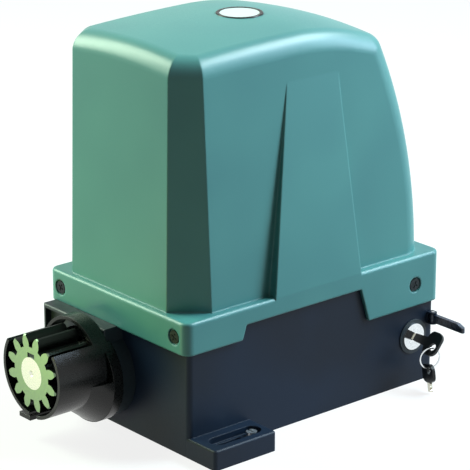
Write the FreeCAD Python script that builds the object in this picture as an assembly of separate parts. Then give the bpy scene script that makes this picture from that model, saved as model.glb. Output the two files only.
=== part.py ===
import FreeCAD, Part
import math
import os
from FreeCAD import Rotation, Vector

# Sliding gate motor.  Millimetres, +Z up, drive pinion towards -Y, lock and release lever on +X.
# Inside this file Y is counted from the front face of the base; on writing, every piece is
# shifted so that the frame's origin is the middle of the base's underside.

# ---------------------------------------------------------------- driving dimensions
# base casting
BASE_W = 154.0              # width of the casting
BASE_L = 240.5              # length of the casting
BASE_H = 98.0               # top rim that carries the cover
BASE_CORNER = 4.0
WALL = 5.0                  # upper wall of the casting
GEAR_WALL = 8.0             # thicker wall round the gear chamber
FLOOR = 6.0
LID_T = 6.0                 # gearbox lid, let into the top of the casting
PARTITION_Y = 136.0         # wall between gear chamber and rear compartment
PARTITION_T = 6.0
FOOT_OUT = 28.5             # foot, out from the side wall
FOOT_L = 57.0
FOOT_H = 15.0
REAR_LUG_W = 56.0
REAR_LUG_OUT = 22.0
REAR_HOLE_SPACING = 36.0
SLOT_W = 9.0                # fixing slots
SLOT_L = 30.0
SLOT_POCKET_W = 13.6        # sunk track round a side slot
SLOT_POCKET_L = 45.0
SLOT_POCKET_D = 5.0
SLOT_FROM_WALL = 15.0       # slot centre line, out from the side wall
SLOT_POCKET_Y = 7.0         # front end of the sunk track
JACK_SCREW_D = 8.0          # levelling screw in the track

# cover
COVER_FIT = 0.3             # play between cover skirt and casting
SKIN = 2.7                  # wall of the moulded cover
SKIRT_FRONT = 4.5           # skirt stands this far in front of the base
SKIRT_TOP = BASE_H + 5.0
SKIRT_BOTTOM_FRONT = BASE_H - 19.0
SKIRT_BOTTOM_ARCH = BASE_H - 8.0
SKIRT_BOTTOM_REAR = BASE_H - 34.5
SKIRT_STEP_1 = 47.2         # where the skirt's lower edge steps up to the arch
SKIRT_STEP_2 = 162.2        # and where it comes down again
SKIRT_CORNER = 7.0
SKIRT_EDGE = 2.4
HOOD_TOP = BASE_H + 193.0
HOOD_AXIS_X = -2.0          # highest point of the crown
HOOD_AXIS_Y = 114.0
HOOD_LEDGE_FRONT = 5.5      # skirt ledge in front of, beside and behind the hood
HOOD_LEDGE_SIDE = 7.5
HOOD_LEDGE_REAR = 11.0
HOOD_LEAN_FRONT = 0.0235    # draft of the hood's walls
HOOD_LEAN_LOCK_SIDE = 0.0376
HOOD_LEAN_OTHER_SIDE = 0.003
HOOD_RIM = 15.0             # rounding between walls and crown
CROWN_R_FRONT = 1600.0
CROWN_R_SIDE = 475.0
CROWN_R_REAR = 221.0
REAR_WALL_R = 378.0         # the rear wall leans forward in one long arc
REAR_WALL_FOOT = BASE_H + 12.0   # height at which that arc stands upright
FACET = (21.0, 24.0)        # front corner facet on the lock side, along X and along Y
FACET_OTHER = (14.0, 16.0)
FACET_LEAN = 0.020
HOOD_REAR_CORNER = 16.5
PANEL_FOOT = (78.3, 161.8)  # tapered side panel, front and rear edge at the ledge
PANEL_HEAD = (99.0, 148.0)  # the same at its top
PANEL_TOP = BASE_H + 158.0
BADGE_R = 17.2
BADGE_RING = 1.6
BADGE_T = 1.5
BADGE_SINK = 1.0

# cover screws
COVER_SCREW_X = 66.0
COVER_SCREW_Z = BASE_H - 7.5
COVER_SCREW_REAR_Y = BASE_L - 23.0
COVER_SCREW_REAR_Z = BASE_H - 17.5
COVER_SCREW_SHANK = 4.0
COVER_SCREW_HEAD = 9.6
COVER_POCKET = 12.0
COVER_POCKET_D = 1.9

# drive line along Y
SHAFT_X = -18.0
SHAFT_Z = 53.5
SHAFT_D = 25.0              # journals and wheel seat
PINION_BORE = 24.0
PINION_MODULE = 4.0
PINION_TEETH = 12
PINION_SHIFT = 0.25
PINION_W = 35.0
PINION_FACE_Y = -67.0
RUN = 0.05                  # radial running clearance
BEARING_D = 52.0
BEARING_W = 15.0
FRONT_BEARING_Y = 8.0
REAR_BEARING_Y = 134.0
SEAL_D = 47.0
SEAL_W = 7.0
HUB_D = 62.0

# worm drive, worm upright beside the wheel
GEAR_RATIO = 30
WORM_MODULE = 1.75
WORM_PITCH_D = 19.5
WORM_L = 44.0
BACKLASH = 0.45
WHEEL_Y = 78.0
WHEEL_W = 16.0
WHEEL_HUB_D = 40.0
CLUTCH_Y = 100.0
CLUTCH_D = 44.0
CLUTCH_SHIFT = 5.0          # travel of the clutch sleeve
DOG_H = 4.0
RELEASE_ROD_X = 22.0
RELEASE_ROD_Z = 32.0
RELEASE_ROD_R = 3.0
CABLE_X = -30.0             # cable entry in the floor
CABLE_Y = BASE_L - 45.5
CABLE_R = 14.0
LID_SCREWS = ((50.0, 13.5), (64.0, 128.0))   # distance from the middle, and along the base

# motor on the gearbox lid
MOTOR_D = 84.0
ROTOR_D = 50.0
AIR_GAP = 0.6
STATOR_L = 60.0
STATOR_Z = BASE_H + 38.0
MOTOR_TOP = BASE_H + 134.0
MOTOR_SHAFT_D = 15.0
MOTOR_JOURNAL_D = 12.0
FAN_R = 32.0

# guard round the pinion and the housing behind it
GUARD_R = 34.0
GUARD_T = 2.6
GUARD_FLANGE_T = 8.5        # thickness of the guard's oval foot
GUARD_FOOT_DROP = 12.5      # the foot's oval hangs this far below the shaft
GUARD_FOOT_R = 36.0
GUARD_OPEN = (38.0, 147.0)  # open to the rack between these angles
GUARD_SLIT = (263.0, 279.0) # drain gap underneath
GUARD_HOOD_Y = -32.0        # the roof behind the pinion starts here
GUARD_WINDOW_Y = -25.0      # rear end of the side wall's front part
LIMIT_X = (-71.0, 2.0)      # limit switch housing
LIMIT_Z = (36.0, SKIRT_BOTTOM_FRONT + 1.0)
LIMIT_DEEP = 17.0
LIMIT_WALL = 2.8
LIMIT_RECESS = 5.0

# lock, keys and release lever
LOCK_Y = BASE_L - 21.5
LOCK_Z = 38.0
LOCK_FACE_D = 20.6
LOCK_FACE_OUT = 1.8
BEZEL_D = 27.0
BEZEL_T = 0.8
BARREL_D = 17.8
PLUG_D = 12.0
KEY_ANGLE = 40.0            # how far the key stands turned from upright
KEY_BOW_L = 14.0
KEY_BOW_W = 19.0
KEY_BOW_T = 2.4
KEY_NECK_L = 13.0
KEY_BLADE_L = 24.0
KEY_BLADE_W = 7.0
KEY_BLADE_T = 1.8
KEY_HOLE_R = 2.9
KEY_HOLE_IN = 5.0           # hole centre from the bow's outer edge
KEY_HOLE_DROP = 2.4         # and below the bow's middle
RING_R = 8.0
RING_WIRE_R = 0.5
RING_SLIP = (-2.5, -0.2)    # the ring's top lies on the hole's front rim, along and up from its centre
RING_PLAY = 0.25            # between the ring's wire and the spare key's hole
RING_TURN = 20.0            # how far the ring's plane is turned towards the front
SPARE_BLADE_L = 7.0
BOW_DENSITY = 1.1           # the spare key hangs with its centre of mass under the ring
BLADE_DENSITY = 7.85
LEVER_Y = BASE_L - 3.9
LEVER_Z = 49.6
LEVER_L = 33.0
LEVER_H = 6.2
LEVER_T = 3.2
LEVER_PIN_D = 2.6
LEVER_PIN_OUT = 3.7         # pin axis, out from the side wall
EAR_T = 1.4

HALF_W = BASE_W / 2
NODES = {}


# ---------------------------------------------------------------- helpers
def box(x0, x1, y0, y1, z0, z1):
    return Part.makeBox(x1 - x0, y1 - y0, z1 - z0, Vector(x0, y0, z0))


def rod_x(y, z, r, x0, x1):
    return Part.makeCylinder(r, x1 - x0, Vector(x0, y, z), Vector(1, 0, 0))


def rod_y(x, z, r, y0, y1):
    return Part.makeCylinder(r, y1 - y0, Vector(x, y0, z), Vector(0, 1, 0))


def rod_z(x, y, r, z0, z1):
    return Part.makeCylinder(r, z1 - z0, Vector(x, y, z0), Vector(0, 0, 1))


def rounded_wire(points, radii):
    """Closed wire through the corner points, each corner rounded by its radius."""
    edges = []
    ends = []
    count = len(points)
    for i, corner in enumerate(points):
        to_last = (points[i - 1] - corner).normalize()
        to_next = (points[(i + 1) % count] - corner).normalize()
        half = to_last.getAngle(to_next) / 2
        if radii[i] <= 0:
            ends.append((corner, corner, corner))
            continue
        reach = radii[i] / math.tan(half)
        inward = (to_last + to_next).normalize()
        middle = corner + inward * (radii[i] / math.sin(half) - radii[i])
        ends.append((corner + to_last * reach, middle, corner + to_next * reach))
    for i in range(count):
        start, middle, end = ends[i]
        if start != end:
            edges.append(Part.Arc(start, middle, end).toShape())
        following = ends[(i + 1) % count][0]
        if (following - end).Length > 1e-6:
            edges.append(Part.LineSegment(end, following).toShape())
    return Part.Wire(edges)


def prism(points, radii, travel):
    """Solid swept by a rounded outline along the vector travel."""
    return Part.Face(rounded_wire(points, radii)).extrude(travel)


def block(x0, x1, y0, y1, z0, z1, corner):
    """Upright block whose four vertical corners are rounded."""
    points = [Vector(x0, y0, z0), Vector(x1, y0, z0), Vector(x1, y1, z0), Vector(x0, y1, z0)]
    return prism(points, [corner] * 4, Vector(0, 0, z1 - z0))


def slot_z(x, y0, y1, width, z0, z1):
    """Upright slot with round ends, along Y."""
    return block(x - width / 2, x + width / 2, y0, y1, z0, z1, width / 2 - 0.001)


def ring_z(x, y, outer, inner, z0, z1):
    return rod_z(x, y, outer, z0, z1).cut(rod_z(x, y, inner, z0 - 1, z1 + 1))


def ring_y(x, z, outer, inner, y0, y1):
    return rod_y(x, z, outer, y0, y1).cut(rod_y(x, z, inner, y0 - 1, y1 + 1))


def ring_x(y, z, outer, inner, x0, x1):
    return rod_x(y, z, outer, x0, x1).cut(rod_x(y, z, inner, x0 - 1, x1 + 1))


def fused(first, *others):
    return first.fuse(list(others)).removeSplitter()


def add(name, *solids):
    """Keep one node: a single solid or a group of separate solids."""
    shapes = []
    for shape in solids:
        shapes.extend(shape.Solids)
    NODES[name] = shapes[0] if len(shapes) == 1 else Part.makeCompound(shapes)


# ---------------------------------------------------------------- base casting
def foot_slot_x(side):
    return side * (HALF_W + SLOT_FROM_WALL)


def base_housing():
    body = block(-HALF_W, HALF_W, 0, BASE_L, 0, BASE_H, BASE_CORNER)
    for side in (-1, 1):
        reach = HALF_W + FOOT_OUT
        x0, x1 = sorted((side * (HALF_W - BASE_CORNER - 1), side * reach))
        foot = block(x0, x1, 0, FOOT_L, 0, FOOT_H, 2.5)
        foot = foot.makeFillet(1.6, [e for e in foot.Edges if is_top_edge(e, FOOT_H)])
        body = body.fuse(foot)
    lug = block(-REAR_LUG_W / 2, REAR_LUG_W / 2, BASE_L - BASE_CORNER,
                BASE_L + REAR_LUG_OUT, 0, FOOT_H, 6.0)
    body = body.fuse(lug)
    gear_x = HALF_W - GEAR_WALL
    room_x = HALF_W - WALL
    ledge = BASE_H - LID_T
    chamber = block(-gear_x, gear_x, GEAR_WALL, PARTITION_Y, FLOOR, ledge + 1, 6.0)
    lid_seat = block(-room_x, room_x, WALL, PARTITION_Y + PARTITION_T, ledge, BASE_H + 1, 3.0)
    rear = block(-room_x, room_x, PARTITION_Y + PARTITION_T, BASE_L - WALL, FLOOR, BASE_H + 1, 3.0)
    body = body.cut([chamber, lid_seat, rear])
    hubs = [rod_y(SHAFT_X, SHAFT_Z, HUB_D / 2, 1, FRONT_BEARING_Y + BEARING_W),
            rod_y(SHAFT_X, SHAFT_Z, HUB_D / 2, REAR_BEARING_Y - 1, REAR_BEARING_Y + BEARING_W + 1),
            rod_z(worm_x(), WHEEL_Y, 21, FLOOR - 1, 18)]
    hubs.extend(rod_z(x, y, 6, FLOOR - 1, ledge) for x, y in lid_screw_places())
    body = body.fuse(hubs)
    holes = [rod_y(SHAFT_X, SHAFT_Z, BEARING_D / 2, FRONT_BEARING_Y, FRONT_BEARING_Y + 40),
             rod_y(SHAFT_X, SHAFT_Z, SEAL_D / 2, FRONT_BEARING_Y - SEAL_W, FRONT_BEARING_Y + 1),
             rod_y(SHAFT_X, SHAFT_Z, SHAFT_D / 2 + 1.5, -1, FRONT_BEARING_Y),
             rod_y(SHAFT_X, SHAFT_Z, BEARING_D / 2, REAR_BEARING_Y, REAR_BEARING_Y + 40),
             rod_y(SHAFT_X, SHAFT_Z, SHAFT_D / 2 + 5, REAR_BEARING_Y - 5, REAR_BEARING_Y + 1),
             rod_z(worm_x(), WHEEL_Y, 16, 8, 40),
             rod_x(LOCK_Y, LOCK_Z, BARREL_D / 2, room_x - 1, HALF_W + 1),
             rod_z(CABLE_X, CABLE_Y, CABLE_R, -1, FLOOR + 1)]
    rod_hole = rod_y(RELEASE_ROD_X, RELEASE_ROD_Z, RELEASE_ROD_R + RUN,
                     PARTITION_Y - 1, PARTITION_Y + PARTITION_T + 1)
    holes.append(rod_hole)
    for side in (-1, 1):
        x = foot_slot_x(side)
        pocket_end = SLOT_POCKET_Y + SLOT_POCKET_L
        holes.append(slot_z(x, SLOT_POCKET_Y, pocket_end, SLOT_POCKET_W,
                            FOOT_H - SLOT_POCKET_D, FOOT_H + 1))
        holes.append(slot_z(x, SLOT_POCKET_Y + 2, SLOT_POCKET_Y + 2 + SLOT_L, SLOT_W, -1, FOOT_H))
        holes.append(rod_z(x, jack_screw_y(), JACK_SCREW_D / 2, -1, FOOT_H))
    for side in (-1, 1):
        holes.append(rod_z(side * REAR_HOLE_SPACING / 2, rear_hole_y(), SLOT_W / 2, -1, FOOT_H + 1))
    for x, y, z, way in cover_screw_places():
        holes.append(cover_screw_shank(x, y, z, way))
    for x, y in lid_screw_places():
        holes.append(rod_z(x, y, 2.0, ledge - 10, ledge + 1))
    for x, z in guard_screw_places():
        holes.append(rod_y(x, z, 2.0, -1, 5))
    return body.cut(holes).removeSplitter()


def is_top_edge(edge, z):
    return abs(edge.BoundBox.ZMin - z) < 1e-6 and abs(edge.BoundBox.ZMax - z) < 1e-6



def jack_screw_y():
    return SLOT_POCKET_Y + SLOT_POCKET_L - SLOT_POCKET_W / 2


def rear_hole_y():
    return BASE_L + REAR_LUG_OUT / 2 + 1


def worm_x():
    return SHAFT_X + (WORM_MODULE * GEAR_RATIO + WORM_PITCH_D) / 2


def lid_screw_places():
    return [(side * x, y) for side in (-1, 1) for x, y in LID_SCREWS]


def guard_screw_places():
    return [(SHAFT_X + side * 24, SHAFT_Z - GUARD_FOOT_DROP) for side in (-1, 1)]


def cover_screw_places():
    """Place on the cover's outer face and inward direction of each cover screw."""
    front = -SKIRT_FRONT
    side_face = HALF_W + COVER_FIT + SKIN
    places = [(s * COVER_SCREW_X, front, COVER_SCREW_Z, Vector(0, 1, 0)) for s in (-1, 1)]
    for s in (-1, 1):
        places.append((s * side_face, COVER_SCREW_REAR_Y, COVER_SCREW_REAR_Z, Vector(-s, 0, 0)))
    return places


def cover_screw_shank(x, y, z, way):
    face = SKIRT_FRONT if way.y else COVER_FIT + SKIN
    return Part.makeCylinder(COVER_SCREW_SHANK / 2, face + WALL - 0.6 - COVER_POCKET_D,
                             Vector(x, y, z) + way * COVER_POCKET_D, way)


def cover_screws():
    screws = []
    for x, y, z, way in cover_screw_places():
        floor = Vector(x, y, z) + way * COVER_POCKET_D
        head = Part.makeCylinder(COVER_SCREW_HEAD / 2, 1.5, floor - way * 1.5, way)
        across = Vector(0, 0, 1)
        cross = across.cross(way)
        slots = []
        for turned in (0, 90):
            bar = Part.makeBox(5.6, 1.1, 1.0, Vector(-2.8, -0.55, -0.5))
            bar.rotate(Vector(0, 0, 0), Vector(0, 0, 1), turned + 25)
            bar.Placement = FreeCAD.Placement(floor - way * 1.5,
                                              Rotation(cross, across, way, "ZXY")).multiply(bar.Placement)
            slots.append(bar)
        screws.append(fused(head.cut(slots), cover_screw_shank(x, y, z, way)))
    return screws


# ---------------------------------------------------------------- cover
def half_space(place, outward):
    """Big block that fills everything outside the plane through place."""
    size = 400.0
    way = Vector(outward).normalize()
    side = Vector(0, 0, 1).cross(way).normalize()
    up = way.cross(side)
    corners = [place - side * size - up * size, place + side * size - up * size,
               place + side * size + up * size, place - side * size + up * size]
    return Part.Face(Part.makePolygon(corners + corners[:1])).extrude(way * size)


def crown_block(inset):
    """Everything under the doubly curved crown, larger than the hood in plan."""
    reach = 130.0
    low = 93.0
    top = HOOD_TOP - inset
    radius = CROWN_R_SIDE - inset
    drop = radius - math.sqrt(radius ** 2 - reach ** 2)
    left = Vector(HOOD_AXIS_X - reach, HOOD_AXIS_Y, top - drop)
    right = Vector(HOOD_AXIS_X + reach, HOOD_AXIS_Y, top - drop)
    arc = Part.Arc(left, Vector(HOOD_AXIS_X, HOOD_AXIS_Y, top), right).toShape()
    corners = [right, Vector(right.x, right.y, low), Vector(left.x, left.y, low), left]
    sides = [Part.LineSegment(a, b).toShape() for a, b in zip(corners, corners[1:])]
    face = Part.Face(Part.Wire([arc] + sides))
    across = Vector(1, 0, 0)
    front = face.revolve(Vector(0, HOOD_AXIS_Y, top - CROWN_R_FRONT + inset), across, 14)
    rear = face.revolve(Vector(0, HOOD_AXIS_Y, top - CROWN_R_REAR + inset), across, -88)
    return front.fuse(rear).Solids[0]


def is_crown(face):
    return "Revolution" in face.Surface.TypeId or "Toroid" in face.Surface.TypeId


def crown_edges(solid):
    """Edges between the crown and the walls."""
    found = []
    for edge in solid.Edges:
        faces = solid.ancestorsOfType(edge, Part.Face)
        if len(faces) == 2 and is_crown(faces[0]) != is_crown(faces[1]):
            found.append(edge)
    return found


def largest(shape):
    return max(shape.Solids, key=lambda solid: solid.Volume)


def rear_corner_edges(solid):
    found = []
    for edge in solid.Edges:
        bounds = edge.BoundBox
        if bounds.ZLength > 5 and bounds.YMin > HOOD_AXIS_Y + 20 and bounds.XLength < 12:
            found.append(edge)
    return found


def hood_solid(inset, foot_z):
    """The hood in one of its skins: inset 0 is the outside, inset SKIN the hollow under it."""
    side = HALF_W + COVER_FIT + SKIN - HOOD_LEDGE_SIDE - inset
    front = -SKIRT_FRONT + HOOD_LEDGE_FRONT + inset
    rear = BASE_L + COVER_FIT + SKIN - HOOD_LEDGE_REAR - inset
    walls = [(Vector(0, front, SKIRT_TOP), Vector(0, -1, HOOD_LEAN_FRONT)),
             (Vector(side, 0, SKIRT_TOP), Vector(1, 0, HOOD_LEAN_LOCK_SIDE)),
             (Vector(-side, 0, SKIRT_TOP), Vector(-1, 0, HOOD_LEAN_OTHER_SIDE))]
    for way, (across, along) in ((1, FACET), (-1, FACET_OTHER)):
        across, along = across - 0.6 * inset, along - 0.6 * inset
        normal = Vector(way * along, -across, 0).normalize() + Vector(0, 0, FACET_LEAN)
        walls.append((Vector(way * side, front + along, SKIRT_TOP), normal))
    # the rear wall stands upright at first, then leans forward in a long arc
    lean_r = REAR_WALL_R - inset
    drum = rod_x(rear - lean_r, REAR_WALL_FOOT, lean_r, -200, 200)
    drum = drum.common(box(-200, 200, -400, 400, REAR_WALL_FOOT, 450))
    drum = drum.fuse(box(-200, 200, -200, rear, 0, REAR_WALL_FOOT)).removeSplitter()
    body = largest(crown_block(inset).cut([half_space(*wall) for wall in walls]).common(drum))
    body = largest(body.makeFillet(HOOD_REAR_CORNER - inset, rear_corner_edges(body)))
    body = largest(body.makeFillet(HOOD_RIM - inset, crown_edges(body)))
    return largest(body.cut(box(-200, 200, -200, 400, 0, foot_z)))


def panel_solid(side, inset):
    """Tapered panel on a side wall, level with the skirt at its foot and with the wall at its top."""
    face = HALF_W + COVER_FIT + SKIN - inset
    lean = HOOD_LEAN_LOCK_SIDE if side > 0 else HOOD_LEAN_OTHER_SIDE
    head = HALF_W + COVER_FIT + SKIN - HOOD_LEDGE_SIDE - inset - lean * (PANEL_TOP - SKIRT_TOP)
    slope = (face - head) / (PANEL_TOP - SKIRT_TOP)
    over = 6.0
    deep = head - 12
    profile = [Vector(side * deep, 60, SKIRT_TOP - 4), Vector(side * face, 60, SKIRT_TOP - 4),
               Vector(side * face, 60, SKIRT_TOP),
               Vector(side * (head - slope * over), 60, PANEL_TOP + over),
               Vector(side * deep, 60, PANEL_TOP + over)]
    sheet = prism(profile, [0] * 5, Vector(0, 130, 0))
    rise = PANEL_TOP - SKIRT_TOP
    front_lean = (PANEL_HEAD[0] - PANEL_FOOT[0]) / rise
    rear_lean = (PANEL_HEAD[1] - PANEL_FOOT[1]) / rise
    low, high = -4.0, rise + over
    outline = [Vector(-100, PANEL_FOOT[0] + inset + front_lean * low, SKIRT_TOP + low),
               Vector(-100, PANEL_FOOT[1] - inset + rear_lean * low, SKIRT_TOP + low),
               Vector(-100, PANEL_FOOT[1] - inset + rear_lean * high, SKIRT_TOP + high),
               Vector(-100, PANEL_FOOT[0] + inset + front_lean * high, SKIRT_TOP + high)]
    return sheet.common(prism(outline, [0] * 4, Vector(200, 0, 0)))


def cover():
    side = HALF_W + COVER_FIT + SKIN
    rear = BASE_L + COVER_FIT + SKIN
    skirt = block(-side, side, -SKIRT_FRONT, rear, SKIRT_BOTTOM_REAR, SKIRT_TOP, SKIRT_CORNER)
    skirt = skirt.makeFillet(SKIRT_EDGE, [e for e in skirt.Edges if is_top_edge(e, SKIRT_TOP)])
    shell = skirt.fuse([hood_solid(0.0, SKIRT_TOP - 2), panel_solid(1, 0.0), panel_solid(-1, 0.0)])
    inner_corner = SKIRT_CORNER - SKIN
    room = block(-side + SKIN, side - SKIN, -SKIRT_FRONT + SKIN, rear - SKIN,
                 SKIRT_BOTTOM_REAR - 1, SKIRT_TOP - SKIN, inner_corner)
    void = room.fuse([hood_solid(SKIN, SKIRT_TOP - SKIN - 1), panel_solid(1, SKIN),
                      panel_solid(-1, SKIN)])
    low = SKIRT_BOTTOM_REAR - 5
    step = [(-20, low), (-20, SKIRT_BOTTOM_FRONT), (SKIRT_STEP_1, SKIRT_BOTTOM_FRONT),
            (SKIRT_STEP_1 + 3.6, SKIRT_BOTTOM_ARCH), (SKIRT_STEP_2, SKIRT_BOTTOM_ARCH),
            (SKIRT_STEP_2 + 8.3, SKIRT_BOTTOM_REAR), (SKIRT_STEP_2 + 8.3, low)]
    below = prism([Vector(-100, y, z) for y, z in step], [0, 0, 1.5, 1.5, 1.5, 0, 0],
                  Vector(200, 0, 0))
    shell = shell.cut([void, below])
    cuts = [rod_z(HOOD_AXIS_X, HOOD_AXIS_Y, BADGE_R, HOOD_TOP - BADGE_SINK, HOOD_TOP + 5)]
    for x, y, z, way in cover_screw_places():
        place = Vector(x, y, z)
        if way.y:
            boss = Part.makeCylinder(8, SKIRT_FRONT - COVER_FIT - SKIN, place + way * SKIN, way)
            shell = shell.fuse(boss)
        cuts.append(Part.makeCylinder(COVER_POCKET / 2, COVER_POCKET_D + 1, place - way, way))
        cuts.append(Part.makeCylinder(COVER_SCREW_SHANK / 2, 20, place, way))
    return shell.cut(cuts)


def cover_seal():
    top = SKIRT_TOP - SKIN
    width = 4.0
    outer = block(-HALF_W, HALF_W, 0, BASE_L, BASE_H, top, BASE_CORNER)
    inner = block(-HALF_W + width, HALF_W - width, width, BASE_L - width, BASE_H - 1, top + 1, 1.0)
    return outer.cut(inner)


def badge():
    seat = HOOD_TOP - BADGE_SINK
    disc = rod_z(HOOD_AXIS_X, HOOD_AXIS_Y, BADGE_R - BADGE_RING, seat, seat + BADGE_T - 0.4)
    ring = ring_z(HOOD_AXIS_X, HOOD_AXIS_Y, BADGE_R, BADGE_R - BADGE_RING, seat, seat + BADGE_T)
    return disc, ring


def cover_parts():
    disc, ring = badge()
    add("cover", cover())
    add("cover_seal", cover_seal())
    add("cover_screws", *cover_screws())
    add("badge_disc", disc)
    add("badge_ring", ring)


# ---------------------------------------------------------------- gears and shafts
def tooth_half_angle(radius, module, teeth, thickness):
    """Half the angle a tooth fills at a radius, for a 20 degree involute."""
    pitch_r = module * teeth / 2
    base_r = pitch_r * math.cos(math.radians(20))
    involute = math.tan(math.radians(20)) - math.radians(20)
    if radius > base_r:
        pressure = math.acos(base_r / radius)
        opened = math.tan(pressure) - pressure
    else:
        opened = 0.0
    return thickness / (2 * pitch_r) + involute - opened


def gear_wire(module, teeth, root_r, tip_r, thickness, y, turn, steps):
    """Closed gear outline in the plane at y, a tooth space centred on +X when turn is 0."""
    centre = Vector(SHAFT_X, y, SHAFT_Z)
    edges = []
    last = None
    first = None
    radii = [root_r + (tip_r - root_r) * i / steps for i in range(steps + 1)]

    def point(radius, angle):
        return centre + Vector(math.cos(angle), 0, -math.sin(angle)) * radius

    for tooth in range(teeth):
        middle = 2 * math.pi * (tooth + 0.5) / teeth + math.radians(turn)
        halves = [tooth_half_angle(r, module, teeth, thickness) for r in radii]
        rising = [point(r, middle - h) for r, h in zip(radii, halves)]
        falling = [point(r, middle + h) for r, h in zip(radii, halves)][::-1]
        if last is not None:
            gap = point(root_r, middle - math.pi / teeth)
            edges.append(Part.Arc(last, gap, rising[0]).toShape())
        else:
            first = rising[0]
        for run in (rising, falling):
            for a, b in zip(run, run[1:]):
                edges.append(Part.LineSegment(a, b).toShape())
            if run is rising:
                edges.append(Part.Arc(rising[-1], point(tip_r, middle), falling[0]).toShape())
        last = falling[-1]
    gap = point(root_r, math.radians(turn))
    edges.append(Part.Arc(last, gap, first).toShape())
    return Part.Wire(edges)


def key_slot(y0, y1, width, z0, z1):
    return block(SHAFT_X - width / 2, SHAFT_X + width / 2, y0, y1, z0, z1, 1.0)


def drive_parts():
    pinion_rear = PINION_FACE_Y + PINION_W
    shaft_end = REAR_BEARING_Y + BEARING_W
    key_y = (PINION_FACE_Y + 0.4, pinion_rear - 5)
    key_z = (SHAFT_Z + PINION_BORE / 2 - 4, SHAFT_Z + PINION_BORE / 2 + 3)
    feather_y = (CLUTCH_Y - 2, CLUTCH_Y + 22)
    feather_z = (SHAFT_Z + 9, SHAFT_Z + 16)
    shaft = fused(rod_y(SHAFT_X, SHAFT_Z, PINION_BORE / 2, PINION_FACE_Y, pinion_rear + 2),
                  rod_y(SHAFT_X, SHAFT_Z, SHAFT_D / 2, pinion_rear + 2, shaft_end))
    centre_drill = Part.makeCone(2.4, 0.4, 3.0, Vector(SHAFT_X, PINION_FACE_Y, SHAFT_Z), Vector(0, 1, 0))
    shaft = shaft.cut([key_slot(*key_y, 8, *key_z), centre_drill])
    feather = key_slot(*feather_y, 6, SHAFT_Z + 5, feather_z[1])
    shaft = fused(shaft, feather)
    thickness = PINION_MODULE * (math.pi / 2 + 2 * PINION_SHIFT * math.tan(math.radians(20)))
    tip_r = PINION_MODULE * (PINION_TEETH / 2 + 1 + PINION_SHIFT)
    root_r = PINION_MODULE * (PINION_TEETH / 2 - 1.25 + PINION_SHIFT)
    outline = gear_wire(PINION_MODULE, PINION_TEETH, root_r, tip_r, thickness, PINION_FACE_Y, 0, 6)
    pinion = Part.Face(outline).extrude(Vector(0, PINION_W, 0))
    chamfer = rod_y(SHAFT_X, SHAFT_Z, tip_r, PINION_FACE_Y, pinion_rear)
    chamfer = chamfer.makeChamfer(1.0, [chamfer.Edges[0], chamfer.Edges[2]])
    keyway = box(SHAFT_X - 4, SHAFT_X + 4, PINION_FACE_Y - 1, pinion_rear + 1, SHAFT_Z, key_z[1] + 0.3)
    bore = rod_y(SHAFT_X, SHAFT_Z, PINION_BORE / 2, PINION_FACE_Y - 1, pinion_rear + 1)
    pinion = pinion.common(chamfer).cut([bore, keyway])
    add("output_shaft", shaft)
    add("drive_pinion", pinion)
    add("pinion_key", key_slot(*key_y, 8, *key_z))
    seal_y = FRONT_BEARING_Y - SEAL_W
    seal = ring_y(SHAFT_X, SHAFT_Z, SEAL_D / 2, SHAFT_D / 2 + RUN, seal_y, FRONT_BEARING_Y)
    add("output_seal", seal.cut(ring_y(SHAFT_X, SHAFT_Z, SEAL_D / 2 - 3, SHAFT_D / 2 + 4,
                                       seal_y - 1, seal_y + 1.2)))


def sector_y(outer, inner, angle_0, angle_1, y0, y1, x=SHAFT_X, z=SHAFT_Z):
    """Piece of a tube along Y between two angles, 0 degrees on +X and 90 on +Z."""
    def point(radius, degrees):
        angle = math.radians(degrees)
        return Vector(x + radius * math.cos(angle), y0, z + radius * math.sin(angle))

    middle = (angle_0 + angle_1) / 2
    edges = [Part.Arc(point(outer, angle_0), point(outer, middle), point(outer, angle_1)).toShape(),
             Part.LineSegment(point(outer, angle_1), point(inner, angle_1)).toShape(),
             Part.Arc(point(inner, angle_1), point(inner, middle), point(inner, angle_0)).toShape(),
             Part.LineSegment(point(inner, angle_0), point(outer, angle_0)).toShape()]
    return Part.Face(Part.Wire(edges)).extrude(Vector(0, y1 - y0, 0))


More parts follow.
